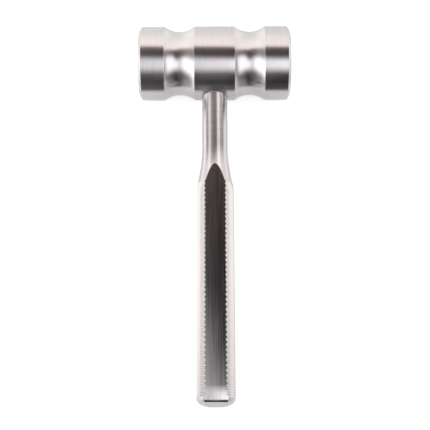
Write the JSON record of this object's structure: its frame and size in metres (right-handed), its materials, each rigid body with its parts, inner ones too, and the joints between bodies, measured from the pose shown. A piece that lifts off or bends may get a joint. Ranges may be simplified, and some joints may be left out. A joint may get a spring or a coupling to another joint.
{
  "type": "surgical mallet",
  "caption": "All-steel surgical mallet: turned double-ended head with two waists, round neck and a diamond-knurled grip with front and back flats.",
  "frame": {"origin": "on the plane the mallet lies on, below the middle of its bounding box", "axes": "+X along the head's axis, -Y down the handle from the head, +Z out of the grip's front flat"},
  "size_m": [0.0816, 0.2054, 0.04],
  "materials": {
    "head_steel": "lands brushed round the axis, waists polished",
    "handle_steel": "polished neck, bright knurl, flats brushed lengthwise",
    "stud_steel": "machined",
    "pin_steel": "ground",
    "weld_steel": "weld bead, dressed and polished"
  },
  "bodies": {
    "root": {"head": "head_steel", "handle": "handle_steel", "head_stud": "stud_steel", "locking_pin": "pin_steel", "neck_weld": "weld_steel"}
  },
  "joints": []
}
